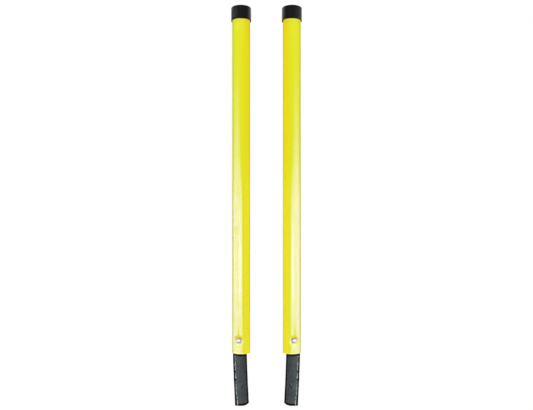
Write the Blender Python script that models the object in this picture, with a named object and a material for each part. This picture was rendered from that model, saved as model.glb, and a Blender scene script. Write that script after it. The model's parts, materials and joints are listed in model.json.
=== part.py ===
"""A pair of snowplow blade guides, standing side by side as mirror images of each other.

Each guide is a yellow plastic tube with a push-on vinyl cap at its top. A flexible strap of rubber
with a fabric core comes out of the tube's lower end. One domed rivet, sunk in a dimple of the tube's
wall, holds the strap. The strap is built in five lengths, joined by barrel knuckles, so that it bends.

World frame: +Z up, -Y the front, X = 0 midway between the guides, Z = 0 at the strap's lower end.
A guide's own frame stands on its axis, with local -Y along the rivet towards its head.
"""

import math

import bmesh
import bpy

MM = 0.001
GAP = 0.3 * MM

# Where the guides stand
GUIDE_SPACING = 90.0 * MM
RIVET_TURN = math.radians(15.5)  # how far each rivet's head faces away from the other guide

# Tube
TUBE_RADIUS = 31.75 / 2 * MM
TUBE_WALL = 1.6 * MM
TUBE_LENGTH = 609.6 * MM
TUBE_BOTTOM = 94.5 * MM
TUBE_TOP = TUBE_BOTTOM + TUBE_LENGTH
TUBE_SIDES = 48

# Dimple round the rivet, on both sides of the tube
RIVET_HEIGHT = TUBE_BOTTOM + 23.0 * MM
DIMPLE_DEPTH = 3.0 * MM
DIMPLE_FLAT_RADIUS = 5.6 * MM
DIMPLE_RADIUS = 10.0 * MM
DIMPLE_ROW_STEP = 2.0 * MM

# Rivet and washer
RIVET_HEAD_RADIUS = 4.5 * MM
RIVET_HEAD_HEIGHT = 2.2 * MM
RIVET_SHANK_RADIUS = 2.38 * MM
RIVET_TAIL_RADIUS = 3.9 * MM
RIVET_TAIL_FACE_RADIUS = 2.7 * MM
RIVET_TAIL_HEIGHT = 1.1 * MM
WASHER_RADIUS = 5.3 * MM
WASHER_THICKNESS = 1.0 * MM
RIVET_SIDES = 24
HOLE_CUTTER_LENGTH = 48.0 * MM

# End cap
CAP_RADIUS = 17.85 * MM
CAP_BOTTOM = TUBE_TOP - 21.5 * MM
CAP_TOP = TUBE_TOP + 2.9 * MM
CAP_EDGE_RADIUS = 2.4 * MM
CAP_CROWN = 0.5 * MM
CAP_SIDES = 48

# Strap
STRAP_WIDTH = 23.4 * MM
STRAP_THICKNESS = 9.5 * MM
FABRIC_THICKNESS = 3.2 * MM
STRAP_TOP = RIVET_HEIGHT + 22.0 * MM
STRAP_SIDE_SHIFT = -3.06 * MM  # at the rivet and above, away from the other guide
STRAP_LEAN = 0.02
STRAP_CURVE = 0.174  # per metre
SQUEEZED_EDGE = -12.9 * MM  # the outer edge at the rivet and above, where the bore presses it in
SWIVEL_ROOM = 0.036  # the pressed edge's slope away from the bore below the rivet, for the swivel
SQUEEZE_LENGTH = 8.0 * MM  # the length below the tube in which the edge spreads again
HINGE_HEIGHTS = [38.0 * MM, 54.0 * MM, 70.0 * MM, 86.0 * MM]
CUT_SLOPE = 0.055  # the cut lower end's rise across the strap, from its outer edge
CUT_START = -0.56 * MM  # where the cut also starts to curve up, from the strap's middle
CUT_RADIUS = 24.0 * MM
CUT_COLUMNS = 8
BARREL_RADIUS = STRAP_THICKNESS / 2
SOCKET_RADIUS = BARREL_RADIUS + GAP
STRAP_ROW_STEP = 9.0 * MM
LAYER_COLUMNS = 4

SHARP_EDGE = math.radians(35.0)

MATERIALS = {
    "yellow_plastic": ((0.77, 0.78, 0.02), 0.35, 0.0),
    "black_vinyl": ((0.02, 0.02, 0.022), 0.55, 0.0),
    "strap_rubber": ((0.055, 0.062, 0.065), 0.75, 0.0),
    "strap_fabric": ((0.30, 0.30, 0.28), 0.9, 0.0),
    "rivet_aluminium": ((0.85, 0.85, 0.86), 0.3, 1.0),
}


def clear_scene():
    for obj in list(bpy.data.objects):
        bpy.data.objects.remove(obj, do_unlink=True)


def material(name):
    """The named material, made the first time it is asked for."""
    found = bpy.data.materials.get(name)
    if found:
        return found
    colour, roughness, metallic = MATERIALS[name]
    made = bpy.data.materials.new(name)
    made.use_nodes = True
    shader = made.node_tree.nodes["Principled BSDF"]
    shader.inputs["Base Color"].default_value = (*colour, 1.0)
    shader.inputs["Roughness"].default_value = roughness
    shader.inputs["Metallic"].default_value = metallic
    return made


def smoothstep(t):
    t = min(max(t, 0.0), 1.0)
    return t * t * (3.0 - 2.0 * t)


def steps_between(low, high, most):
    """Evenly spaced values from low to high, no further apart than most."""
    count = max(1, math.ceil((high - low) / most))
    return [low + (high - low) * i / count for i in range(count + 1)]


def arc(centre, radius, start, end, count):
    """Points on an arc in a turned profile's plane, from angle start to end in degrees."""
    angles = [math.radians(start + (end - start) * i / count) for i in range(count + 1)]
    return [(centre[0] + radius * math.cos(a), centre[1] + radius * math.sin(a)) for a in angles]


class Guide:
    """Where one guide stands. side is +1 for the left guide and -1 for its mirror image."""

    def __init__(self, name, side):
        self.name = name
        self.side = side
        self.x = -side * GUIDE_SPACING / 2
        self.turn = -side * RIVET_TURN


def add_piece(guide, name, bm, material_name, origin_height):
    """Makes an object of bm, whose points are in the guide's frame, with its origin on the guide's axis."""
    bmesh.ops.translate(bm, verts=bm.verts, vec=(0.0, 0.0, -origin_height))
    mesh = bpy.data.meshes.new(f"{guide.name}_{name}")
    bm.to_mesh(mesh)
    bm.free()
    mesh.shade_smooth()
    mesh.set_sharp_from_angle(angle=SHARP_EDGE)
    mesh.materials.append(material(material_name))
    piece = bpy.data.objects.new(mesh.name, mesh)
    piece.location = (guide.x, 0.0, origin_height)
    piece.rotation_euler = (0.0, 0.0, guide.turn)
    bpy.context.scene.collection.objects.link(piece)
    return piece


def ring_faces(bm, first, second):
    """Joins two rings of vertices, or a ring and a single vertex, with faces."""
    count = max(len(first), len(second))
    for i in range(count):
        j = (i + 1) % count
        low = [first[i % len(first)], first[j % len(first)]]
        high = [second[j % len(second)], second[i % len(second)]]
        bm.faces.new(list(dict.fromkeys(low + high)))


def turned(profile, sides):
    """A body of revolution about Z. The profile's (radius, z) points run up its outer side.

    A profile whose ends are on the axis is solid, and any other is closed into a ring."""
    bm = bmesh.new()
    rings = []
    for radius, z in profile:
        if radius == 0.0:
            rings.append([bm.verts.new((0.0, 0.0, z))])
            continue
        angles = [2.0 * math.pi * i / sides for i in range(sides)]
        rings.append([bm.verts.new((radius * math.cos(a), radius * math.sin(a), z)) for a in angles])
    for first, second in zip(rings, rings[1:]):
        ring_faces(bm, first, second)
    if len(rings[0]) > 1:
        ring_faces(bm, rings[-1], rings[0])
    return bm


def lay_along_rivet(bm):
    """Turns a body made about Z so that its +Z end points to the guide's front."""
    for vertex in bm.verts:
        x, y, z = vertex.co
        vertex.co = (x, -z, y + RIVET_HEIGHT)


def dimpled(x, y, z, floor):
    """Presses a point of the tube's wall in to the dimple's flat floor, which is floor from the axis."""
    if abs(y) <= floor:
        return (x, y, z)
    distance = math.hypot(x, z - RIVET_HEIGHT)
    slope = (DIMPLE_RADIUS - distance) / (DIMPLE_RADIUS - DIMPLE_FLAT_RADIUS)
    pressed = abs(y) - (abs(y) - floor) * smoothstep(slope)
    return (x, math.copysign(pressed, y), z)


def hole_cutter(guide, radius):
    """A cylinder along the rivet, wide enough to leave a gap round its shank."""
    end = HOLE_CUTTER_LENGTH / 2
    bm = turned([(0.0, -end), (radius, -end), (radius, end), (0.0, end)], RIVET_SIDES)
    lay_along_rivet(bm)
    cutter = add_piece(guide, "rivet_hole_cutter", bm, "rivet_aluminium", RIVET_HEIGHT)
    cutter.hide_render = True
    cutter.display_type = "WIRE"
    return cutter


def cut_hole(piece, cutter):
    cut = piece.modifiers.new("rivet_hole", "BOOLEAN")
    cut.operation = "DIFFERENCE"
    cut.object = cutter


def tube(guide, cutter):
    """The plastic tube: an outer and an inner skin, both dimpled at the rivet, joined at the two ends."""
    dimple_rows = steps_between(RIVET_HEIGHT - DIMPLE_RADIUS, RIVET_HEIGHT + DIMPLE_RADIUS, DIMPLE_ROW_STEP)
    heights = [TUBE_BOTTOM, *dimple_rows, TUBE_TOP]
    bm = bmesh.new()
    skins = []
    for inset in (0.0, TUBE_WALL):
        radius = TUBE_RADIUS - inset
        floor = TUBE_RADIUS - DIMPLE_DEPTH - inset
        rows = []
        for z in heights:
            angles = [2.0 * math.pi * (i + 0.5) / TUBE_SIDES for i in range(TUBE_SIDES)]
            points = [(radius * math.cos(a), radius * math.sin(a), z) for a in angles]
            rows.append([bm.verts.new(dimpled(*point, floor)) for point in points])
        skins.append(rows)
    outer, inner = skins
    loop = outer + inner[::-1]
    for first, second in zip(loop, loop[1:] + loop[:1]):
        ring_faces(bm, first, second)
    piece = add_piece(guide, "tube", bm, "yellow_plastic", RIVET_HEIGHT)
    cut_hole(piece, cutter)


def end_cap(guide):
    """The dipped cap: a thin skirt round the tube's top and a slightly crowned end with a round edge."""
    bore = TUBE_RADIUS + GAP
    underside = TUBE_TOP + GAP
    edge_centre = (CAP_RADIUS - CAP_EDGE_RADIUS, CAP_TOP - CAP_CROWN - CAP_EDGE_RADIUS)
    profile = [(0.0, underside), (bore, underside), (bore, CAP_BOTTOM), (CAP_RADIUS, CAP_BOTTOM)]
    profile += arc(edge_centre, CAP_EDGE_RADIUS, 0.0, 90.0, 5)
    for radius in (CAP_RADIUS / 2, 0.0):
        profile.append((radius, CAP_TOP - CAP_CROWN * (radius / CAP_RADIUS) ** 2))
    piece = add_piece(guide, "end_cap", turned(profile, CAP_SIDES), "black_vinyl", CAP_BOTTOM)
    piece.rotation_euler = (0.0, 0.0, 0.0)


def rivet(guide):
    """The domed rivet: head in the front dimple, shank through the strap, clinched tail at the back."""
    seat = TUBE_RADIUS - DIMPLE_DEPTH + GAP
    washer_back = seat + WASHER_THICKNESS
    tail_front = washer_back + GAP
    half_chord = RIVET_HEAD_RADIUS
    dome_radius = (half_chord**2 + RIVET_HEAD_HEIGHT**2) / (2.0 * RIVET_HEAD_HEIGHT)
    dome_centre = (0.0, seat + RIVET_HEAD_HEIGHT - dome_radius)
    rim_angle = math.degrees(math.asin((dome_radius - RIVET_HEAD_HEIGHT) / dome_radius))
    dome = arc(dome_centre, dome_radius, rim_angle, 90.0, 5)[:-1]
    tail_end = tail_front + RIVET_TAIL_HEIGHT
    profile = [(0.0, -tail_end), (RIVET_TAIL_FACE_RADIUS, -tail_end)]
    profile += [(RIVET_TAIL_RADIUS, -(tail_front + tail_end) / 2), (RIVET_TAIL_RADIUS, -tail_front)]
    profile += [(RIVET_SHANK_RADIUS, -tail_front), (RIVET_SHANK_RADIUS, seat)]
    profile += [*dome, (0.0, seat + RIVET_HEAD_HEIGHT)]
    bm = turned(profile, RIVET_SIDES)
    lay_along_rivet(bm)
    add_piece(guide, "rivet", bm, "rivet_aluminium", RIVET_HEIGHT)


def rivet_washer(guide):
    front = -(TUBE_RADIUS - DIMPLE_DEPTH + GAP)
    back = front - WASHER_THICKNESS
    bore = RIVET_SHANK_RADIUS + GAP
    bm = turned([(bore, back), (WASHER_RADIUS, back), (WASHER_RADIUS, front), (bore, front)], RIVET_SIDES)
    lay_along_rivet(bm)
    add_piece(guide, "rivet_washer", bm, "rivet_aluminium", RIVET_HEIGHT)


def strap_shift(z):
    """How far the strap's middle lies from the guide's axis at height z, towards the other guide."""
    below = max(RIVET_HEIGHT - z, 0.0)
    return STRAP_SIDE_SHIFT + STRAP_LEAN * below + STRAP_CURVE * below**2


def strap_edges(z):
    """The strap's outer and inner edges at height z, from the guide's axis towards the other guide."""
    outer = strap_shift(z) - STRAP_WIDTH / 2
    pressed = SQUEEZED_EDGE + SWIVEL_ROOM * max(RIVET_HEIGHT - z, 0.0)
    squeeze = smoothstep((z - TUBE_BOTTOM + SQUEEZE_LENGTH) / SQUEEZE_LENGTH)
    return outer + (pressed - outer) * squeeze, outer + STRAP_WIDTH


def knuckle(hinge, radius, y):
    """The height at depth y of a round end of this radius about a hinge."""
    return hinge - math.sqrt(radius**2 - y**2)


def cut_height(inward):
    """The height of the strap's cut lower end, which slopes and curves up towards the inner corner.

    inward is the distance from the strap's middle, towards the other guide."""
    along = max(inward - CUT_START, 0.0)
    curve = CUT_RADIUS - math.sqrt(CUT_RADIUS**2 - along**2)
    return CUT_SLOPE * (inward + STRAP_WIDTH / 2) + curve


def warped_block(columns, place):
    """The skin of a block of columns[0] x columns[1] x columns[2] cells.

    place gives the point for three fractions from 0 to 1, across, front to back and upwards."""
    bm = bmesh.new()
    made = {}

    def corner(*cell):
        if cell not in made:
            made[cell] = bm.verts.new(place(*(c / most for c, most in zip(cell, columns))))
        return made[cell]

    for axis in range(3):
        first, second = [other for other in range(3) if other != axis]
        for level in (0, columns[axis]):
            for i in range(columns[first]):
                for j in range(columns[second]):
                    face = []
                    for step in ((0, 0), (1, 0), (1, 1), (0, 1)):
                        cell = [level] * 3
                        cell[first] = i + step[0]
                        cell[second] = j + step[1]
                        face.append(corner(*cell))
                    bm.faces.new(face)
    bmesh.ops.recalc_face_normals(bm, faces=bm.faces)
    return bm


def strap_layer(guide, name, low, high, y_front, y_back, material_name):
    """One layer of one length of strap, from height low to high.

    A lower end at a hinge is a barrel about it. An upper end at a hinge is the next length's socket."""
    is_barrel = low in HINGE_HEIGHTS
    is_socket = high in HINGE_HEIGHTS
    rows = math.ceil((high - low) / STRAP_ROW_STEP)
    across = 1 if is_barrel else CUT_COLUMNS

    def place(u, v, w):
        outward_to_inward = (u - 0.5) * STRAP_WIDTH
        y = y_front + (y_back - y_front) * v
        start = knuckle(low, BARREL_RADIUS, y) if is_barrel else cut_height(outward_to_inward)
        end = knuckle(high, SOCKET_RADIUS, y) if is_socket else high
        z = start + (end - start) * w
        outer, inner = strap_edges(z)
        return (guide.side * (outer + (inner - outer) * u), y, z)

    bm = warped_block((across, LAYER_COLUMNS, rows), place)
    return add_piece(guide, name, bm, material_name, low)


def strap(guide, cutter):
    """The five lengths of strap, each a sandwich of rubber, fabric and rubber."""
    half = STRAP_THICKNESS / 2
    fabric = FABRIC_THICKNESS / 2
    layers = [
        ("front_cover", -half, -fabric - GAP, "strap_rubber"),
        ("fabric_core", -fabric, fabric, "strap_fabric"),
        ("back_cover", fabric + GAP, half, "strap_rubber"),
    ]
    names = ["foot", "link_1", "link_2", "link_3", "head"]
    ends = [0.0, *HINGE_HEIGHTS, STRAP_TOP]
    for length, low, high in zip(names, ends, ends[1:]):
        for layer, y_front, y_back, material_name in layers:
            name = f"strap_{length}_{layer}"
            piece = strap_layer(guide, name, low, high, y_front, y_back, material_name)
            if length == "head":
                cut_hole(piece, cutter)


def main():
    clear_scene()
    for guide in (Guide("left", 1), Guide("right", -1)):
        cutter = hole_cutter(guide, RIVET_SHANK_RADIUS + GAP)
        tube(guide, cutter)
        end_cap(guide)
        rivet(guide)
        rivet_washer(guide)
        strap(guide, cutter)


main()
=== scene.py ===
"""Looks for the pair of snowplow blade guides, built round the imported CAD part.

Each guide has a local frame: a points from its axis towards the other guide, b points backwards along
its rivet, and z points up. The two guides are mirror images, so one description serves both.
"""

import json
import math
import random

import bmesh
import bpy
from mathutils import Matrix, Vector, noise

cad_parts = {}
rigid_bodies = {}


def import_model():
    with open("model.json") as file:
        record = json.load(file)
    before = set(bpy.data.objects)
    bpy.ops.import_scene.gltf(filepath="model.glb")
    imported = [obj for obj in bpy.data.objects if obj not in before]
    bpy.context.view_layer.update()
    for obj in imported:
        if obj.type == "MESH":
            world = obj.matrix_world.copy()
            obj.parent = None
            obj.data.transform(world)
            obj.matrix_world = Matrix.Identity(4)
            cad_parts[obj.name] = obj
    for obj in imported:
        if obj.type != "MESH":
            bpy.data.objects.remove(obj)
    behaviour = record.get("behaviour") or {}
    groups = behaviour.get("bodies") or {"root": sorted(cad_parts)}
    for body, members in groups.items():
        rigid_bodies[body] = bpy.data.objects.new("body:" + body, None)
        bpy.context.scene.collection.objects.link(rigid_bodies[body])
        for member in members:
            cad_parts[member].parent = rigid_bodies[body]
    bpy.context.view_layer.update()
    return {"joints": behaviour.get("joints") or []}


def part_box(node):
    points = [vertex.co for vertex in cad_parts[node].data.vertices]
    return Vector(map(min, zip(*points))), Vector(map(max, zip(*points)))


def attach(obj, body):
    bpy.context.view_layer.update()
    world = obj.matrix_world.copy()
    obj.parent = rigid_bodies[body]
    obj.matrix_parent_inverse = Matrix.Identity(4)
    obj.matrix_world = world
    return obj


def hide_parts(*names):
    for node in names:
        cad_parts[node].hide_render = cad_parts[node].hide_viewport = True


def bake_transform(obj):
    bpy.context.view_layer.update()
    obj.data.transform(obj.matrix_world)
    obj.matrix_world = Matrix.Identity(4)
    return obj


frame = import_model()
joints = {joint["name"]: joint for joint in frame["joints"]}

MM = 0.001

# Camera
CAMERA_LENS = 39.9  # mm, on a sensor 36 mm wide
CAMERA_PLACE = (0.0, -1.05, 0.328)
CAMERA_SHIFT = 0.0298

# Tube
TUBE_WALL = 1.6 * MM
TUBE_SIDES = 192
TUBE_ROW_STEP = 40.0 * MM
DIMPLE_DEPTH = 3.0 * MM
DIMPLE_FLAT_RADIUS = 5.6 * MM
DIMPLE_RADIUS = 10.0 * MM
DIMPLE_ROW_STEP = 0.6 * MM
HOLE_SIDES = 48
TUBE_EDGE = 0.15 * MM
SAWN_BAND = 1.5 * MM
LIP_SLOPE = 0.23  # the paler lip, partly sawn edge and partly painted highlight, is widest at the front
LIP_START = 6.8 * MM
DIMPLE_PAINTED_SHADE = [  # painted shade in the dimple, strongest above the rivet's head: outer and inner radius round the rivet, least amount below it, colour
    (9.5 * MM, 7.5 * MM, 0.0, (0.97, 0.83, 0.004, 1.0)),
    (6.9 * MM, 5.6 * MM, 0.0, (0.66, 0.42, 0.004, 1.0)),
    (5.7 * MM, 5.0 * MM, 0.25, (0.22, 0.17, 0.02, 1.0)),
]

# Cap
CAP_SIDES = 128
CAP_SKIN_GAP = 0.12 * MM
CAP_LIP = 0.5 * MM
CAP_EDGE_RADIUS = 2.4 * MM
CAP_CROWN = 0.5 * MM
CAP_BEAD = 0.12 * MM
CAP_WOBBLE = 0.05 * MM
CAP_WAVES = 90.0  # per metre

# Rivet and washer
RIVET_SIDES = 64
HEAD_RADIUS = 4.5 * MM
HEAD_HEIGHT = 2.2 * MM
HEAD_EDGE = 0.35 * MM
SHANK_RADIUS = 2.38 * MM
HOLE_RADIUS = 2.6 * MM
TAIL_RADIUS = 3.9 * MM
TAIL_HEIGHT = 1.1 * MM
WASHER_RADIUS = 5.3 * MM
WASHER_BORE = 2.68 * MM
WASHER_THICKNESS = 1.0 * MM
SEAT_GAP = 0.1 * MM

# Strap
STRAP_WIDTH = 23.4 * MM
STRAP_THICKNESS = 9.5 * MM
STRAP_SIDE_SHIFT = -3.06 * MM
STRAP_LEAN = 0.02
STRAP_CURVE = 0.174
STRAP_CORNER = 0.3 * MM
SQUEEZED_EDGE = -12.9 * MM
SWIVEL_ROOM = 0.036
SQUEEZE_START = 2.6 * MM  # below the tube, where the outer edge starts to be pressed in
SQUEEZE_END = 0.6 * MM  # below the tube, from where up it is pressed in fully
CUT_SLOPE = 0.055
CUT_START = -0.56 * MM
CUT_RADIUS = 24.0 * MM
STRAP_ROW_STEP = 0.7 * MM
LEDGE_COLUMNS = 9
FACE_COLUMNS = 34
SIDE_COLUMNS = 12
DARK_FOOT_BAND = 3.9 * MM  # a dark band up from the cut end, with a pale painted highlight line above it
CUT_ROWS = [height * MM for height in (0.35, 1.4, 2.6, 3.8, 4.0, 4.5, 4.8, 5.1)]  # rows up the dark band
HIGHLIGHT_LINE = 0.6 * MM
MOUTH_SLOPE = 0.23  # of the line along which the tube's front lip shades the strap
MOUTH_BAND = (-4.0 * MM, -3.1 * MM)  # above the tube's lower end, where the shade starts and is full
LEDGE_WIDTH = 4.0 * MM
LEDGE_STEP = 1.0 * MM  # the ledge is this much wider at the foot's end
LEDGE_STEP_HEIGHTS = (22.0 * MM, 12.0 * MM)
LEDGE_DEPTH = 0.45 * MM
LEDGE_EDGE = 0.15 * MM  # half the width of the step from the ledge up to the face
BARE_GAPS = [(60.4 * MM, 62.6 * MM), (44.6 * MM, 49.0 * MM)]  # heights with no threads left
SCUFF = [(6.6 * MM, 39.8 * MM), (1.9 * MM, 32.4 * MM), (-0.4 * MM, 36.4 * MM)]  # the tick's corners
SCUFF_REACH = (1.1 * MM, 0.3 * MM)
SCUFF_DEPTH = 0.22 * MM
SCUFF_EDGE = (1.5 * MM, -1.6 * MM)  # from the rubber pushed up beside the scuff to the scuff itself

# Threads
THREADS_STOP = 5.5 * MM  # below the tube
THREAD_LENGTHS = (1.6, 5.2)  # mm
THREAD_STRANDS = (7, 8, 9)
THREAD_SPREAD = (-0.8, 0.7)  # mm, from the torn edge
THREAD_RADII = (0.16, 0.27)  # mm
THREAD_SIDES = 5
THREAD_STEP = 0.5 * MM

# Studio
CARD_RADIUS = 0.95
FLOOR_RADIUS = 6.0
FLOOR_DROP = 0.5 * MM
WHITE = (1.0, 1.0, 1.0)


def smoothstep(low, high, value):
    t = min(max((value - low) / (high - low), 0.0), 1.0)
    return t * t * (3.0 - 2.0 * t)


def steps_between(low, high, most):
    count = max(1, math.ceil((high - low) / most))
    return [low + (high - low) * i / count for i in range(count + 1)]


def arc(centre, radius, start, end, count):
    angles = [math.radians(start + (end - start) * i / count) for i in range(count + 1)]
    return [(centre[0] + radius * math.cos(t), centre[1] + radius * math.sin(t)) for t in angles]


class Guide:
    """Where one guide stands, read from the CAD. side is +1 for the left guide and -1 for the right."""

    def __init__(self, name, side):
        self.name = name
        self.side = side
        low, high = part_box(f"{name}_tube")
        self.axis = Vector(((low.x + high.x) / 2, 0.0, 0.0))
        self.tube_low = low.z
        self.tube_high = high.z
        swivel = joints[f"{name}_rivet_swivel"]
        along = Vector(swivel["axis"])
        self.back = along if along.y > 0.0 else -along
        self.inward = side * Vector((self.back.y, -self.back.x, 0.0))
        self.rivet_height = swivel["pos_m"][2]
        self.tube_radius = (high.x - low.x) / 2
        cap_low, cap_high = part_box(f"{name}_end_cap")
        self.cap_low = cap_low.z
        self.cap_high = cap_high.z
        self.cap_radius = (cap_high.x - cap_low.x) / 2
        self.hinges = [joints[f"{name}_strap_flex_{i}"]["pos_m"][2] for i in (1, 2, 3, 4)]
        self.strap_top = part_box(f"{name}_strap_head_fabric_core")[1].z
        self.strap_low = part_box(f"{name}_strap_foot_fabric_core")[0].z
        self.pieces = bpy.data.collections.new(f"{name}_guide_pieces")

    def matrix(self):
        columns = [self.inward, self.back, Vector((0.0, 0.0, 1.0)), self.axis]
        return Matrix([[column[i] for column in columns] for i in range(3)] + [[0.0, 0.0, 0.0, 1.0]])


def bridge(bm, first, second):
    """Faces between two rings of vertices, or between a ring and one vertex."""
    count = max(len(first), len(second))
    for i in range(count):
        j = (i + 1) % count
        low = [first[i % len(first)], first[j % len(first)]]
        high = [second[j % len(second)], second[i % len(second)]]
        bm.faces.new(list(dict.fromkeys(low + high)))


def turned(profile, sides, wobble=0.0):
    """A body of revolution about Z, whose (radius, z) profile runs up its outer side."""
    bm = bmesh.new()
    rings = []
    for radius, z in profile:
        if radius == 0.0:
            rings.append([bm.verts.new((0.0, 0.0, z))])
            continue
        ring = []
        for i in range(sides):
            t = 2.0 * math.pi * i / sides
            point = Vector((radius * math.cos(t), radius * math.sin(t), z))
            grown = radius + wobble * noise.noise(point * CAP_WAVES)
            ring.append(bm.verts.new((grown * math.cos(t), grown * math.sin(t), z)))
        rings.append(ring)
    for first, second in zip(rings, rings[1:]):
        bridge(bm, first, second)
    if len(rings[0]) > 1:
        bridge(bm, rings[-1], rings[0])
    return bm


def mesh_of(bm, name):
    mesh = bpy.data.meshes.new(name)
    bm.to_mesh(mesh)
    bm.free()
    return mesh


def bored(mesh, height, half_length):
    """The mesh with the rivet's hole cut through it, along its local y."""
    side = [(HOLE_RADIUS, -half_length), (HOLE_RADIUS, half_length)]
    bm = turned([(0.0, -half_length), *side, (0.0, half_length)], HOLE_SIDES)
    cutter = bpy.data.objects.new("hole_cutter", mesh_of(lay_along_rivet(bm, height), "hole_cutter"))
    body = bpy.data.objects.new("bored", mesh)
    for obj in (cutter, body):
        bpy.context.scene.collection.objects.link(obj)
    cut = body.modifiers.new("hole", "BOOLEAN")
    cut.operation = "DIFFERENCE"
    cut.object = cutter
    result = bpy.data.meshes.new_from_object(body.evaluated_get(bpy.context.evaluated_depsgraph_get()))
    for obj in (cutter, body):
        bpy.data.objects.remove(obj, do_unlink=True)
    return result


def lay_along_rivet(bm, height):
    """Turns a body made about Z so that its +Z end points to the guide's front."""
    for vertex in bm.verts:
        x, y, z = vertex.co
        vertex.co = (x, -z, y + height)
    return bm


def add_piece(guide, name, mesh, material, sharp=35.0):
    """Puts a mesh made in the guide's local frame in place. "local" keeps that frame for its material."""
    count = len(mesh.vertices)
    places = [0.0] * (3 * count)
    mesh.vertices.foreach_get("co", places)
    mesh.attributes.new("local", "FLOAT_VECTOR", "POINT").data.foreach_set("vector", places)
    mesh.transform(guide.matrix())
    if guide.side < 0:
        mesh.flip_normals()
    mesh.shade_smooth()
    mesh.set_sharp_from_angle(angle=math.radians(sharp))
    mesh.materials.clear()
    mesh.materials.append(material)
    piece = bpy.data.objects.new(f"{guide.name}_{name}", mesh)
    bpy.context.scene.collection.objects.link(piece)
    guide.pieces.objects.link(piece)
    return piece


# ---------------------------------------------------------------- tube


def dimpled(x, y, z, floor, height):
    """Presses a point of the tube's wall in to the dimple's flat floor."""
    if abs(y) <= floor:
        return (x, y, z)
    distance = math.hypot(x, z - height)
    depth = smoothstep(0.0, 1.0, (DIMPLE_RADIUS - distance) / (DIMPLE_RADIUS - DIMPLE_FLAT_RADIUS))
    return (x, math.copysign(abs(y) - (abs(y) - floor) * depth, y), z)


def tube(guide, material):
    low, high, rivet = guide.tube_low, guide.tube_high, guide.rivet_height
    radius = guide.tube_radius
    bore = radius - TUBE_WALL
    dimple = steps_between(rivet - DIMPLE_RADIUS, rivet + DIMPLE_RADIUS, DIMPLE_ROW_STEP)
    below = steps_between(low + SAWN_BAND, dimple[0], DIMPLE_RADIUS)[:-1]
    above = steps_between(dimple[-1], high - SAWN_BAND, TUBE_ROW_STEP)[1:]
    skin = [*below, *dimple, *above]
    half = TUBE_EDGE * 0.3
    outer = [(radius - TUBE_EDGE, low), (radius - half, low + half), (radius, low + TUBE_EDGE)]
    outer += [(radius, z) for z in skin]
    outer += [(radius, high - TUBE_EDGE), (radius - half, high - half), (radius - TUBE_EDGE, high)]
    inner = [(bore + TUBE_EDGE, high), (bore, high - TUBE_EDGE)]
    inner += [(bore, z) for z in reversed(skin)]
    inner += [(bore, low + TUBE_EDGE), (bore + TUBE_EDGE, low)]
    bm = bmesh.new()
    rings = []
    for ring_radius, z in outer + inner:
        floor = ring_radius - DIMPLE_DEPTH
        ring = []
        for i in range(TUBE_SIDES):
            t = 2.0 * math.pi * (i + 0.5) / TUBE_SIDES
            point = dimpled(ring_radius * math.cos(t), ring_radius * math.sin(t), z, floor, rivet)
            ring.append(bm.verts.new(point))
        rings.append(ring)
    for first, second in zip(rings, rings[1:] + rings[:1]):
        bridge(bm, first, second)
    mesh = bored(mesh_of(bm, f"{guide.name}_tube_shell"), rivet, radius * 1.5)
    piece = add_piece(guide, "tube_shell", mesh, material)
    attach(piece, f"{guide.name}_tube")
    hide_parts(f"{guide.name}_tube")


# ---------------------------------------------------------------- cap


def end_cap(guide, material):
    bore = guide.tube_radius + CAP_SKIN_GAP
    radius = guide.cap_radius - CAP_WOBBLE
    skirt = radius - CAP_BEAD
    low, high = guide.cap_low, guide.cap_high
    underside = guide.tube_high + CAP_SKIN_GAP
    profile = [(0.0, underside), (bore, underside), (bore, low + CAP_LIP)]
    profile += arc((bore + CAP_LIP, low + CAP_LIP), CAP_LIP, 180.0, 270.0, 4)
    profile += arc((radius - CAP_LIP, low + CAP_LIP), CAP_LIP, 270.0, 360.0, 5)
    profile += [(radius, low + 1.6 * CAP_LIP), (skirt, low + 5.0 * CAP_LIP)]
    edge = (skirt - CAP_EDGE_RADIUS, high - CAP_CROWN - CAP_EDGE_RADIUS)
    profile += [(skirt, z) for z in steps_between(low + 7.0 * CAP_LIP, edge[1], 2.0 * MM)]
    profile += arc(edge, CAP_EDGE_RADIUS, 0.0, 90.0, 10)[1:]
    for fraction in (0.8, 0.6, 0.4, 0.2, 0.0):
        profile.append((skirt * fraction, high - CAP_CROWN * fraction**2))
    mesh = mesh_of(turned(profile, CAP_SIDES, wobble=CAP_WOBBLE), f"{guide.name}_cap_shell")
    piece = add_piece(guide, "cap_shell", mesh, material)
    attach(piece, f"{guide.name}_end_cap")
    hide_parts(f"{guide.name}_end_cap")


# ---------------------------------------------------------------- rivet and washer


def rivet(guide, material):
    seat = guide.tube_radius - DIMPLE_DEPTH + SEAT_GAP
    tail = seat + WASHER_THICKNESS + 2.0 * SEAT_GAP
    rise = HEAD_HEIGHT - HEAD_EDGE
    dome_radius = (HEAD_RADIUS**2 + rise**2) / (2.0 * rise)
    centre = (0.0, seat + HEAD_HEIGHT - dome_radius)
    rim = math.degrees(math.asin((dome_radius - rise) / dome_radius))
    profile = [(0.0, -tail - TAIL_HEIGHT)]
    bulge = TAIL_HEIGHT / 2
    profile += arc((TAIL_RADIUS - bulge, -tail - bulge), bulge, -90.0, 90.0, 8)
    profile += [(SHANK_RADIUS, -tail), (SHANK_RADIUS, seat), (HEAD_RADIUS - HEAD_EDGE / 2, seat)]
    profile += [(HEAD_RADIUS, seat + HEAD_EDGE / 2), *arc(centre, dome_radius, rim, 90.0, 14)[:-1]]
    profile += [(0.0, seat + HEAD_HEIGHT)]
    bm = lay_along_rivet(turned(profile, RIVET_SIDES), guide.rivet_height)
    mesh = mesh_of(bm, f"{guide.name}_rivet_turned")
    piece = add_piece(guide, "rivet_turned", mesh, material)
    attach(piece, f"{guide.name}_strap_head")
    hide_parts(f"{guide.name}_rivet")


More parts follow.
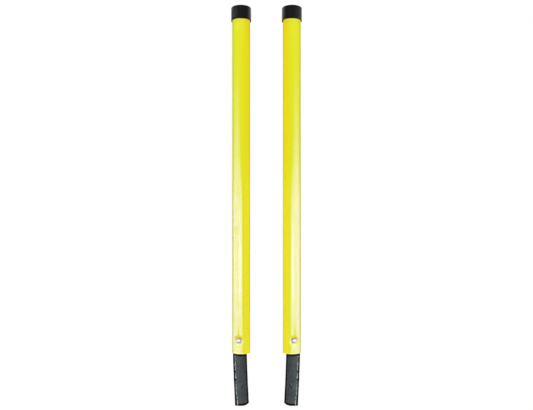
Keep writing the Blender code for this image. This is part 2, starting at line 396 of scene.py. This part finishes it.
def rivet_washer(guide, material):
    front = -(guide.tube_radius - DIMPLE_DEPTH + SEAT_GAP)
    back = front - WASHER_THICKNESS
    edge = 0.15 * WASHER_THICKNESS
    profile = [(WASHER_BORE, back + edge), (WASHER_BORE + edge, back), (WASHER_RADIUS - edge, back)]
    profile += [(WASHER_RADIUS, back + edge), (WASHER_RADIUS, front - edge)]
    profile += [(WASHER_RADIUS - edge, front), (WASHER_BORE + edge, front), (WASHER_BORE, front - edge)]
    bm = lay_along_rivet(turned(profile, RIVET_SIDES), guide.rivet_height)
    mesh = mesh_of(bm, f"{guide.name}_washer_punched")
    piece = add_piece(guide, "washer_punched", mesh, material)
    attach(piece, f"{guide.name}_strap_head")
    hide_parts(f"{guide.name}_rivet_washer")


# ---------------------------------------------------------------- strap


def strap_shift(guide, z):
    """How far the strap's middle lies from the guide's axis at height z, towards the other guide."""
    below = max(guide.rivet_height - z, 0.0)
    return STRAP_SIDE_SHIFT + STRAP_LEAN * below + STRAP_CURVE * below**2


def strap_side(guide, across, z):
    """How far a point across the strap lies from the guide's axis. The bore presses the outer edge in."""
    middle = strap_shift(guide, z)
    outer = middle - STRAP_WIDTH / 2
    pressed = SQUEEZED_EDGE + SWIVEL_ROOM * max(guide.rivet_height - z, 0.0)
    squeeze = (pressed - outer) * smoothstep(-SQUEEZE_START, -SQUEEZE_END, z - guide.tube_low)
    return middle + across + squeeze * (0.5 - across / STRAP_WIDTH)


def cut_height(guide, inward):
    """The height of the cut lower end, which slopes and curves up towards the inner corner."""
    along = max(inward - CUT_START, 0.0)
    curve = CUT_RADIUS - math.sqrt(CUT_RADIUS**2 - along**2)
    return guide.strap_low + CUT_SLOPE * (inward + STRAP_WIDTH / 2) + curve


def ledge_edge(z):
    """Where the face cover's torn edge runs, measured from the strap's middle towards the other guide."""
    ragged = 0.35 * noise.noise(Vector((3.1, 0.0, z * 260.0)))
    ragged += 0.2 * noise.noise(Vector((8.4, 0.0, z * 900.0)))
    wider = LEDGE_STEP * smoothstep(*LEDGE_STEP_HEIGHTS, z)
    return -STRAP_WIDTH / 2 + LEDGE_WIDTH + wider + ragged * MM


def bare(z):
    """1 in the stretches where the torn edge is deepest and has lost its threads."""
    return max(
        smoothstep(low - 0.8 * MM, low + 0.3 * MM, z) * smoothstep(high + 0.8 * MM, high - 0.3 * MM, z)
        for low, high in BARE_GAPS
    )


def scuff_at(inward, z):
    """How strongly the tick-shaped scuff marks this place on the front face."""
    here = Vector((inward, z))
    marked = 0.0
    for first, second in zip(SCUFF, SCUFF[1:]):
        start, end = Vector(first), Vector(second)
        along = end - start
        t = min(max((here - start).dot(along) / along.length_squared, 0.0), 1.0)
        marked = max(marked, smoothstep(*SCUFF_REACH, (here - start - along * t).length))
    return marked


def mouth_painted_shadow(guide, across, z):
    """How strongly painted shadow darkens the strap just below the tube: a ragged band that follows the
    tube's front lip.
    """
    place = strap_side(guide, across, z)
    behind = math.sqrt(max(guide.tube_radius**2 - place**2, 0.0)) - STRAP_THICKNESS / 2
    ragged = 1.3 * MM * noise.noise(Vector((across * 330.0, 0.0, 1.7)))
    return smoothstep(*MOUTH_BAND, z - guide.tube_low + MOUTH_SLOPE * behind + ragged)


def section(z_row):
    """One ring of the strap's skin: (across, depth, cut, painted highlight), round from the front's outer
    corner.
    """
    half_width = STRAP_WIDTH / 2
    half_depth = STRAP_THICKNESS / 2
    edge = ledge_edge(z_row)
    ring = []
    ledge = LEDGE_DEPTH * (1.0 + 0.9 * bare(z_row))
    for i in range(LEDGE_COLUMNS):
        part = i / (LEDGE_COLUMNS - 1)
        across = -half_width + (edge - LEDGE_EDGE + half_width) * part
        ring.append((across, -half_depth + ledge * (0.35 + 0.65 * part), 0.0, 0.0))
    for i in range(FACE_COLUMNS):
        across = edge + LEDGE_EDGE + (half_width - edge - LEDGE_EDGE) * i / (FACE_COLUMNS - 1)
        # painted highlight along the face's outer edge beside the ledge and along its inner corner
        worn = smoothstep(2.0, 0.0, i) * 0.6 + (i == FACE_COLUMNS - 1) * 0.8
        ring.append((across, -half_depth, 0.0, worn))
    front = len(ring)
    for i in range(1, SIDE_COLUMNS):
        down = max(i - 1, 0.15) / (SIDE_COLUMNS - 1)
        ring.append((half_width, -half_depth + STRAP_THICKNESS * down, 1.0, 0.0))
    for i in range(front):
        ring.append((half_width - STRAP_WIDTH * i / (front - 1), half_depth, 0.0, 0.0))
    for i in range(1, SIDE_COLUMNS):
        ring.append((-half_width, half_depth - STRAP_THICKNESS * i / SIDE_COLUMNS, 1.0, 0.0))
    return ring


def skin_point(guide, across, depth, z, inset):
    """The point on the strap's skin, with its worn corners and its uneven cut sides."""
    half_width = STRAP_WIDTH / 2
    half_depth = STRAP_THICKNESS / 2
    to_side = half_width - abs(across)
    to_face = half_depth - abs(depth)
    corner = max(0.0, STRAP_CORNER - to_side - to_face) + inset
    lumps = noise.noise(Vector((across * 420.0, depth * 420.0, z * 700.0)))
    waves = noise.noise(Vector((math.copysign(2.0, across), depth * 160.0, z * 120.0)))
    grown_across = across - math.copysign(corner, across) * (to_side < STRAP_CORNER)
    grown_across += 0.16 * MM * waves * (1.0 - min(to_side / MM, 1.0))
    grown_depth = depth - math.copysign(corner, depth) * (to_face < LEDGE_DEPTH * 2.0)
    grown_depth += 0.07 * MM * lumps * (to_face < LEDGE_DEPTH * 2.0)
    if depth < 0.0:
        grown_depth += SCUFF_DEPTH * scuff_at(across, z)
    return (strap_side(guide, grown_across, z), grown_depth, z)


def strap_length(guide, low, high, is_cut):
    """One length of the strap's skin from height low to high, closed at both ends."""
    rows = math.ceil((high - low) / STRAP_ROW_STEP)
    fractions = [i / rows for i in range(rows + 1)]
    if is_cut:
        close = [0.0, *[height / (high - low) for height in CUT_ROWS]]
        fractions = close + [fraction for fraction in fractions if fraction > close[-1] * 1.05]
    bm = bmesh.new()
    layers = {name: bm.verts.layers.float.new(name) for name in ("cut", "worn", "dust", "scuff")}
    rings = []
    for number, fraction in enumerate(fractions):
        z_row = low + (high - low) * fraction
        inset = 0.3 * MM if is_cut and number == 0 else 0.0
        ring = []
        for across, depth, cut, worn in section(z_row):
            start = cut_height(guide, across) if is_cut else low
            z = start + (high - start) * fraction
            vertex = bm.verts.new(skin_point(guide, across, depth, z, inset))
            above_end = z - start if is_cut else DARK_FOOT_BAND * 2.0
            # painted highlight: a pale line just above the dark band at the cut end
            end_highlight = 0.7 * (DARK_FOOT_BAND < above_end < DARK_FOOT_BAND + HIGHLIGHT_LINE)
            # painted shadow cast by the tube's front lip
            mouth_shadow = mouth_painted_shadow(guide, across, z)
            # cut marks the black cut sides and also carries the painted shadow and the dark band at the
            # cut end
            vertex[layers["cut"]] = max(cut, mouth_shadow, float(above_end < DARK_FOOT_BAND))
            beside_scuff = 0.95 * scuff_at(across + SCUFF_EDGE[0], z + SCUFF_EDGE[1])
            # painted highlights along the edges, and pale wear beside the scuff
            vertex[layers["worn"]] = max(worn, end_highlight, beside_scuff) * (depth < 0.0)
            # paler towards the outer edge: partly dust, partly painted light
            vertex[layers["dust"]] = smoothstep(STRAP_WIDTH * 0.5, -STRAP_WIDTH * 0.4, across)
            on_ledge = depth < 0.0 and across < ledge_edge(z_row)
            vertex[layers["scuff"]] = scuff_at(across, z) if depth < 0.0 else 0.0
            if on_ledge:
                vertex[layers["cut"]] = max(vertex[layers["cut"]], 0.85 + 0.15 * bare(z_row))
            ring.append(vertex)
        rings.append(ring)
    for first, second in zip(rings, rings[1:]):
        bridge(bm, first, second)
    close_end(bm, rings[0])
    close_end(bm, rings[-1])
    bmesh.ops.recalc_face_normals(bm, faces=bm.faces)
    return bm


def close_end(bm, ring):
    """Closes an end ring with strips that run from the front face to the back face."""
    front = LEDGE_COLUMNS + FACE_COLUMNS
    back = front + SIDE_COLUMNS - 1
    for i in range(1, front - 2):
        bm.faces.new([ring[i], ring[i + 1], ring[back + front - 2 - i], ring[back + front - 1 - i]])
    bm.faces.new([ring[front - 2], *ring[front - 1 : back + 2]])
    bm.faces.new([ring[1], ring[back + front - 2], *ring[back + front - 1 :], ring[0]])


def threads(guide, low, high, chance):
    """Frayed threads of the fabric, lying along the torn edge of the face cover."""
    bm = bmesh.new()
    z = max(low, guide.strap_low + 1.5 * MM)
    while z < high - 1.0 * MM:
        length = min(chance.uniform(*THREAD_LENGTHS) * MM, high - 0.2 * MM - z)
        for strand in range(chance.choice(THREAD_STRANDS)):
            middle = z + length / 2
            if bare(middle) > 0.3 or chance.random() < 0.1:
                continue
            offset = chance.uniform(*THREAD_SPREAD) * MM
            start = z + chance.uniform(0.0, 0.25) * length
            add_thread(bm, guide, start, z + length * chance.uniform(0.8, 1.0), offset, chance)
        z += length * chance.uniform(0.75, 1.05)
    return bm


def add_thread(bm, guide, start, end, offset, chance):
    """One thread: a slim tube, closed at both ends."""
    radius = chance.uniform(*THREAD_RADII) * MM
    sway = chance.uniform(0.0, 40.0)
    rings = []
    count = max(3, math.ceil((end - start) / THREAD_STEP))
    for i in range(count + 1):
        z = start + (end - start) * i / count
        across = ledge_edge(z) + offset + 0.3 * MM * noise.noise(Vector((sway, 0.0, z * 500.0)))
        depth = -STRAP_THICKNESS / 2 + 0.05 * MM + 0.2 * MM * noise.noise(Vector((sway, 5.0, z * 500.0)))
        size = radius * (0.4 if i in (0, count) else 1.0)
        ring = []
        for side in range(THREAD_SIDES):
            t = 2.0 * math.pi * side / THREAD_SIDES
            spot = (strap_side(guide, across + size * math.cos(t), z), depth + size * math.sin(t), z)
            ring.append(bm.verts.new(spot))
        rings.append(ring)
    for first, second in zip(rings, rings[1:]):
        bridge(bm, first, second)
    bm.faces.new(rings[0][::-1])
    bm.faces.new(rings[-1])


def strap(guide, rubber, fabric):
    """The strap: four lengths, each reaching across one hinge."""
    name = guide.name
    half_pitch = (guide.hinges[1] - guide.hinges[0]) / 2
    ends = [guide.strap_low, *[hinge + half_pitch for hinge in guide.hinges[:-1]], guide.strap_top]
    chance = random.Random(11)
    covered = ["foot", "link_1", "link_2", "link_3"]
    for number, hinge in enumerate(guide.hinges):
        low, high = ends[number], ends[number + 1]
        mesh = mesh_of(strap_length(guide, low, high, number == 0), f"{name}_strap_{number + 1}")
        is_last = number == len(guide.hinges) - 1
        if is_last:
            mesh = bored(mesh, guide.rivet_height, guide.tube_radius)
        skin = add_piece(guide, f"strap_rubber_{number + 1}", mesh, rubber, sharp=50.0)
        frayed_top = min(high, guide.tube_low - THREADS_STOP)
        mesh = mesh_of(threads(guide, low, frayed_top, chance), f"{name}_threads_{number + 1}")
        frayed = add_piece(guide, f"strap_threads_{number + 1}", mesh, fabric, sharp=80.0)
        for piece in (skin, frayed):
            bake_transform(piece)
        stood_for = [covered[number]] + (["head"] if is_last else [])
        layers = ("front_cover", "fabric_core", "back_cover")
        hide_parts(*[f"{name}_strap_{length}_{layer}" for length in stood_for for layer in layers])


# ---------------------------------------------------------------- materials


class Shader:
    """A material whose nodes are added one at a time."""

    def __init__(self, name):
        self.material = bpy.data.materials.new(name)
        self.material.use_nodes = True
        self.tree = self.material.node_tree
        self.surface = self.tree.nodes["Principled BSDF"]

    def add(self, kind, inputs=None, output=0, **properties):
        """Adds a node. inputs maps a socket's name or number to a value or to another node's socket."""
        made = self.tree.nodes.new(kind)
        for key, value in properties.items():
            setattr(made, key, value)
        for key, value in (inputs or {}).items():
            self.plug(made.inputs[key], value)
        return made.outputs[output]

    def plug(self, socket, value):
        if isinstance(value, bpy.types.NodeSocket):
            self.tree.links.new(value, socket)
        else:
            socket.default_value = value

    def finish(self, **sockets):
        for key, value in sockets.items():
            self.plug(self.surface.inputs[key.replace("_", " ")], value)
        return self.material

    def attribute(self, name, output="Fac"):
        return self.add("ShaderNodeAttribute", output=output, attribute_name=name)

    def local(self, scale):
        """The local frame, stretched by scale."""
        place = self.attribute("local", "Vector")
        return self.add("ShaderNodeVectorMath", {0: place, 1: scale}, operation="MULTIPLY")

    def along(self, direction):
        """How far along a direction of the local frame the surface is."""
        place = self.attribute("local", "Vector")
        inputs = {0: place, 1: direction}
        return self.add("ShaderNodeVectorMath", inputs, "Value", operation="DOT_PRODUCT")

    def from_rivet(self):
        """How far from the rivet's axis the surface is."""
        height = joints["left_rivet_swivel"]["pos_m"][2]
        place = self.attribute("local", "Vector")
        offset = self.add("ShaderNodeVectorMath", {0: place, 1: (0.0, 0.0, height)}, operation="SUBTRACT")
        flat = self.add("ShaderNodeVectorMath", {0: offset, 1: (1.0, 0.0, 1.0)}, operation="MULTIPLY")
        return self.add("ShaderNodeVectorMath", {0: flat}, "Value", operation="LENGTH")

    def noise(self, scale, detail=2.0):
        """Noise from 0 to 1, whose features are about 1 / scale metres in each direction."""
        inputs = {"Vector": self.local(scale), "Scale": 1.0, "Detail": detail}
        return self.add("ShaderNodeTexNoise", inputs)

    def spread(self, value, low, high, out_low, out_high):
        inputs = {"Value": value, 1: low, 2: high, 3: out_low, 4: out_high}
        return self.add("ShaderNodeMapRange", inputs)

    def mix(self, amount, first, second, blend="MIX"):
        """Mixes two colours."""
        made = self.tree.nodes.new("ShaderNodeMix")
        made.data_type = "RGBA"
        made.blend_type = blend
        for number, value in ((0, amount), (6, first), (7, second)):
            self.plug(made.inputs[number], value)
        return made.outputs[2]

    def bump(self, height, strength, distance, under=None):
        inputs = {"Height": height, "Strength": strength, "Distance": distance}
        if under is not None:
            inputs["Normal"] = under
        return self.add("ShaderNodeBump", inputs)


def yellow_plastic():
    """Extruded plastic: long faint die lines, soft gloss, a paler sawn lower rim, painted highlights and
    shade.
    """
    shader = Shader("yellow_extruded_plastic")
    cloud = shader.noise((22.0, 22.0, 9.0))
    lines = shader.noise((820.0, 820.0, 3.0), detail=3.0)
    grain = shader.noise((1500.0, 1500.0, 1500.0), detail=1.0)
    tone = shader.spread(cloud, 0.3, 0.7, 0.0, 1.0)
    colour = shader.mix(tone, (0.75, 0.775, 0.004, 1.0), (0.79, 0.81, 0.006, 1.0))
    streak = shader.spread(lines, 0.35, 0.75, 0.0, 0.35)
    colour = shader.mix(streak, colour, (0.80, 0.83, 0.012, 1.0))
    height = shader.along((0.0, 0.0, 1.0))
    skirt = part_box("left_end_cap")[0].z
    # painted highlight: a bright line round the tube just under the cap's lip
    below_cap = shader.spread(height, skirt - 2.4 * MM, skirt - 1.5 * MM, 0.0, 1.0)
    in_cap = shader.spread(height, skirt + 0.4 * MM, skirt + 1.0 * MM, 1.0, 0.0)
    under_cap_highlight = shader.add("ShaderNodeMath", {0: below_cap, 1: in_cap}, operation="MULTIPLY")
    colour = shader.mix(under_cap_highlight, colour, (1.0, 0.97, 0.09, 1.0))
    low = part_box("left_tube")[0].z
    # pale lip at the tube's lower end: partly a paler sawn edge, partly painted highlight
    slanted = shader.along((0.0, LIP_SLOPE, 1.0))
    lip = low - LIP_SLOPE * LIP_START
    rim = shader.spread(slanted, lip + 0.2 * MM, lip - 0.2 * MM, 0.0, 1.0)
    colour = shader.mix(rim, colour, (1.0, 0.97, 0.3, 1.0))
    middle = joints["left_rivet_swivel"]["pos_m"][2]
    # painted shade in the dimple, strongest above the rivet's head
    for outer, inner, least, shade_colour in DIMPLE_PAINTED_SHADE:
        round_rivet = shader.spread(shader.from_rivet(), outer, inner, 0.0, 1.0)
        above = shader.spread(height, middle - 0.5 * MM, middle + 2.5 * MM, least, 1.0)
        amount = shader.add("ShaderNodeMath", {0: round_rivet, 1: above}, operation="MULTIPLY")
        colour = shader.mix(amount, colour, shade_colour)
    rough = shader.spread(lines, 0.2, 0.8, 0.13, 0.18)
    normal = shader.bump(grain, 0.05, 0.05 * MM, shader.bump(lines, 0.12, 0.2 * MM))
    return shader.finish(Base_Color=colour, Roughness=rough, Normal=normal, IOR=1.5)


def black_vinyl():
    """Dipped vinyl: satin black with a fine orange peel, a little pale dust, and painted shade at the lip
    and crown.
    """
    shader = Shader("black_dipped_vinyl")
    peel = shader.noise((620.0, 620.0, 620.0), detail=2.0)
    cloud = shader.noise((70.0, 70.0, 45.0), detail=3.0)
    dust = shader.spread(cloud, 0.45, 0.75, 0.0, 0.5)
    colour = shader.mix(dust, (0.010, 0.010, 0.011, 1.0), (0.017, 0.0175, 0.018, 1.0))
    height = shader.along((0.0, 0.0, 1.0))
    low, high = (corner.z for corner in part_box("left_end_cap"))
    lip = shader.spread(height, low + 1.9 * MM, low + 1.3 * MM, 0.0, 1.0)
    crown = shader.spread(height, high - 3.7 * MM, high - 2.9 * MM, 0.0, 1.0)
    # painted shade: darker at the lip and round the crown
    for edge in (lip, crown):
        colour = shader.mix(edge, colour, (0.003, 0.003, 0.0035, 1.0))
    rough = shader.spread(cloud, 0.3, 0.7, 0.3, 0.42)
    normal = shader.bump(peel, 0.12, 0.25 * MM)
    return shader.finish(Base_Color=colour, Roughness=rough, Normal=normal, IOR=1.5)


def strap_rubber():
    """Belting rubber: a speckled face, paler outwards with dust and painted light, black cut sides,
    painted highlights and shadow.
    """
    shader = Shader("belting_rubber")
    speckle = shader.noise((430.0, 430.0, 520.0), detail=3.0)
    patch = shader.noise((110.0, 110.0, 60.0), detail=2.0)
    fine = shader.noise((2200.0, 2200.0, 2600.0), detail=2.0)
    # paler towards the outer edge: partly dust, partly painted light
    dust = shader.attribute("dust")
    face = shader.mix(dust, (0.040, 0.050, 0.053, 1.0), (0.074, 0.089, 0.094, 1.0))
    tone = shader.spread(speckle, 0.32, 0.7, 0.35, 1.85)
    grey = shader.add("ShaderNodeCombineColor", {0: tone, 1: tone, 2: tone})
    face = shader.mix(1.0, face, grey, "MULTIPLY")
    tone = shader.spread(patch, 0.3, 0.7, 0.85, 1.15)
    grey = shader.add("ShaderNodeCombineColor", {0: tone, 1: tone, 2: tone})
    face = shader.mix(1.0, face, grey, "MULTIPLY")
    scuffed = shader.spread(shader.attribute("scuff"), 0.0, 1.0, 0.0, 0.95)
    face = shader.mix(scuffed, face, (0.008, 0.010, 0.011, 1.0))
    # painted highlights along the face's edges and above the dark band, and pale wear beside the scuff
    worn = shader.spread(shader.attribute("worn"), 0.1, 1.0, 0.0, 0.75)
    face = shader.mix(worn, face, (0.11, 0.13, 0.135, 1.0))
    # black cut sides and ledge, plus painted shadow under the tube and a dark band at the cut end
    colour = shader.mix(shader.attribute("cut"), face, (0.004, 0.004, 0.005, 1.0))
    rough = shader.spread(speckle, 0.2, 0.8, 0.62, 0.82)
    normal = shader.bump(fine, 0.2, 0.1 * MM, shader.bump(speckle, 0.5, 0.25 * MM))
    return shader.finish(Base_Color=colour, Roughness=rough, Normal=normal, IOR=1.45)


def strap_fabric():
    """Twisted threads of undyed fabric, greyed by rubber."""
    shader = Shader("belting_fabric_threads")
    place = shader.local((900.0, 900.0, 1500.0))
    twist = shader.add("ShaderNodeTexWave", {"Vector": place, "Scale": 1.0})
    dirt = shader.noise((300.0, 300.0, 260.0), detail=2.0)
    clean = shader.spread(dirt, 0.35, 0.65, 0.0, 1.0)
    colour = shader.mix(clean, (0.2, 0.25, 0.26, 1.0), (0.58, 0.67, 0.68, 1.0))
    normal = shader.bump(twist, 0.4, 0.05 * MM)
    rough = shader.spread(dirt, 0.3, 0.7, 0.8, 0.95)
    return shader.finish(Base_Color=colour, Roughness=rough, Normal=normal)


def rivet_aluminium():
    """Bright aluminium with the faint nicks left by the setting tool."""
    shader = Shader("rivet_bright_aluminium")
    nicks = shader.noise((900.0, 900.0, 900.0), detail=3.0)
    cloud = shader.noise((260.0, 260.0, 260.0), detail=1.0)
    colour = shader.mix(cloud, (0.80, 0.80, 0.82, 1.0), (0.90, 0.90, 0.92, 1.0))
    rough = shader.spread(nicks, 0.3, 0.7, 0.18, 0.32)
    normal = shader.bump(nicks, 0.15, 0.1 * MM)
    return shader.finish(Base_Color=colour, Roughness=rough, Normal=normal, Metallic=1.0)


# ---------------------------------------------------------------- studio


def only_for(light, guide, names=None):
    """The light shines on this guide's pieces only, or only on those whose names contain one of names."""
    lit = bpy.data.collections.new(f"lit_by_{light.name}")
    for piece in guide.pieces.objects:
        if names is None or any(name in piece.name for name in names):
            lit.objects.link(piece)
    light.light_linking.receiver_collection = lit


def dome_light(guide, name, azimuth, spread, colour, strength):
    """A wide, even light from one side. Azimuth 0 is the front, and it grows towards the other guide."""
    data = bpy.data.lights.new(f"{guide.name}_{name}", "SUN")
    data.angle = math.radians(spread)
    data.color = colour
    data.energy = strength * math.pi
    light = bpy.data.objects.new(data.name, data)
    bpy.context.scene.collection.objects.link(light)
    turn = math.radians(azimuth)
    direction = Vector((guide.side * math.sin(turn), -math.cos(turn), 0.0))
    light.rotation_euler = direction.to_track_quat("Z", "Y").to_euler()
    light.visible_glossy = False
    only_for(light, guide)


def curved_card(guide, name, lit, colour, glow, azimuths, heights):
    """A curved softbox round the guide, only for reflections. glow(azimuth, height) is its brightness."""
    bm = bmesh.new()
    layer = bm.verts.layers.float.new("glow")
    rows = []
    for z in heights:
        row = []
        for azimuth in azimuths:
            turn = math.radians(azimuth)
            spot = Vector((guide.side * CARD_RADIUS * math.sin(turn), -CARD_RADIUS * math.cos(turn), z))
            vertex = bm.verts.new(guide.axis + spot)
            vertex[layer] = glow(azimuth, z)
            row.append(vertex)
        rows.append(row)
    for low, high in zip(rows, rows[1:]):
        for i in range(len(low) - 1):
            bm.faces.new([low[i], low[i + 1], high[i + 1], high[i]])
    shader = Shader(f"{guide.name}_{name}_glow")
    tree = shader.tree
    strength = shader.attribute("glow")
    shine = shader.add("ShaderNodeEmission", {"Color": (*colour, 1.0), "Strength": strength})
    clear = shader.add("ShaderNodeBsdfTransparent")
    both = shader.add("ShaderNodeAddShader", {0: shine, 1: clear})
    tree.links.new(both, tree.nodes["Material Output"].inputs["Surface"])
    mesh = mesh_of(bm, f"{guide.name}_{name}")
    mesh.materials.append(shader.material)
    card = bpy.data.objects.new(mesh.name, mesh)
    bpy.context.scene.collection.objects.link(card)
    card.visible_camera = False
    card.visible_diffuse = False
    card.visible_shadow = False
    card.visible_transmission = False
    only_for(card, guide, lit)


def steps(low, high, step):
    count = round((high - low) / step)
    return [low + (high - low) * i / count for i in range(count + 1)]


def tube_glow(azimuth, height):
    """Bright low down and fading out upwards, with a slanting inner edge and a hot stripe."""
    rise = max(0.0, min(1.0, (0.905 - height) / 0.527)) ** 1.6
    inner = 16.0 - 38.0 * smoothstep(0.333, 0.61, height)
    outer = -106.0 + 18.0 * smoothstep(0.351, 0.675, height)
    band = smoothstep(inner + 3.0, inner - 3.0, azimuth) * smoothstep(outer - 17.0, outer + 14.0, azimuth)
    stripe = math.exp(-(((azimuth + 12.0) / 11.0) ** 2)) * math.exp(-(((height - 0.166) / 0.13) ** 4))
    inner_line = 0.6 * math.exp(-(((azimuth - 93.0) / 5.0) ** 2)) * smoothstep(0.5, 0.25, height)
    return 11.4 * band * (rise + 1.15 * stripe) + inner_line


def side_glow(azimuth, height):
    """Faint light on the inner side of the tube's lower half."""
    return 1.5 * smoothstep(25.0, 60.0, azimuth) * smoothstep(0.58, 0.4, height)


def cap_glow(azimuth, height):
    """Light from the outer side, and from the inner side and the back."""
    outer = 0.7 * smoothstep(-35.0, -60.0, azimuth)
    inner = 1.0 * smoothstep(86.0, 94.0, azimuth)
    return outer + inner


def rivet_glow(azimuth, height):
    """Brightest where the middle of the domed head reflects it."""
    return 0.45 + 1.5 * math.exp(-(((azimuth + 34.0) / 50.0) ** 2) - (((height - 0.05) / 0.45) ** 2))


def dimple_glow(azimuth, height):
    """High overhead, where only the dimple's lower slope reflects it."""
    return 14.0 * smoothstep(-110.0, -70.0, azimuth) * smoothstep(60.0, 10.0, azimuth)


def studio(guides):
    for guide in guides:
        dome_light(guide, "soft_key", -30.0, 150.0, WHITE, 0.28)
        dome_light(guide, "warm_side", 98.0, 60.0, (1.0, 0.22, 0.0), 0.62)
        azimuths, heights = steps(-140.0, 110.0, 2.5), steps(-0.17, 1.0, 0.03)
        curved_card(guide, "tube_card", ["tube_shell"], (0.32, 0.24, 1.0), tube_glow, azimuths, heights)
        azimuths = steps(20.0, 130.0, 5.0)
        curved_card(guide, "side_card", ["tube_shell"], (0.1, 1.0, 0.25), side_glow, azimuths, heights)
        azimuths, heights = steps(-180.0, 180.0, 4.0), [0.85, 1.2]
        curved_card(guide, "cap_card", ["cap_shell"], WHITE, cap_glow, azimuths, heights)
        azimuths, heights = steps(-150.0, 120.0, 5.0), steps(-0.9, 1.6, 0.1)
        curved_card(guide, "rivet_card", ["rivet"], WHITE, rivet_glow, azimuths, heights)
        azimuths, heights = steps(-110.0, 60.0, 5.0), [1.08, 4.5]
        curved_card(guide, "dimple_card", ["tube_shell"], (0.6, 0.6, 1.0), dimple_glow, azimuths, heights)
    white_world()


def white_world():
    """White behind everything, a soft light on every surface, and nothing in the reflections."""
    world = bpy.data.worlds.new("white_studio")
    world.use_nodes = True
    bpy.context.scene.world = world
    tree = world.node_tree
    background = tree.nodes["Background"]
    path = tree.nodes.new("ShaderNodeLightPath")
    total = tree.nodes.new("ShaderNodeMath")
    for number, (output, strength) in enumerate((("Is Camera Ray", 1.0), ("Is Diffuse Ray", 0.75))):
        scaled = tree.nodes.new("ShaderNodeMath")
        scaled.operation = "MULTIPLY"
        tree.links.new(path.outputs[output], scaled.inputs[0])
        scaled.inputs[1].default_value = strength
        tree.links.new(scaled.outputs[0], total.inputs[number])
    background.inputs["Color"].default_value = (*WHITE, 1.0)
    tree.links.new(total.outputs[0], background.inputs["Strength"])


def floor():
    """A pale floor, whose own glow and the light on it add up to plain white."""
    bm = bmesh.new()
    bmesh.ops.create_circle(bm, cap_ends=True, radius=FLOOR_RADIUS, segments=96)
    bmesh.ops.translate(bm, verts=bm.verts, vec=(0.0, 0.0, -FLOOR_DROP))
    mesh = mesh_of(bm, "studio_floor")
    shader = Shader("pale_floor")
    grain = shader.add("ShaderNodeTexNoise", {"Scale": 40.0})
    colour = shader.mix(grain, (0.09, 0.09, 0.09, 1.0), (0.11, 0.11, 0.11, 1.0))
    glow = {"Emission_Color": (*WHITE, 1.0), "Emission_Strength": 0.94}
    mesh.materials.append(shader.finish(Base_Color=colour, Roughness=0.9, **glow))
    plane = bpy.data.objects.new("studio_floor", mesh)
    bpy.context.scene.collection.objects.link(plane)
    plane.visible_diffuse = False
    plane.visible_glossy = False
    plane.visible_shadow = False


def camera():
    data = bpy.data.cameras.new("camera")
    data.lens = CAMERA_LENS
    data.sensor_width = 36.0
    data.shift_y = CAMERA_SHIFT
    data.clip_start = 0.01
    data.clip_end = 50.0
    view = bpy.data.objects.new("camera", data)
    view.location = CAMERA_PLACE
    view.rotation_euler = (math.radians(90.0), 0.0, 0.0)
    bpy.context.scene.collection.objects.link(view)
    bpy.context.scene.camera = view


def main():
    camera()
    plastic, vinyl, metal = yellow_plastic(), black_vinyl(), rivet_aluminium()
    rubber, fabric = strap_rubber(), strap_fabric()
    guides = [Guide("left", 1), Guide("right", -1)]
    for guide in guides:
        tube(guide, plastic)
        end_cap(guide, vinyl)
        rivet(guide, metal)
        rivet_washer(guide, metal)
        strap(guide, rubber, fabric)
    studio(guides)
    floor()
    bpy.context.scene.view_settings.view_transform = "Standard"


main()
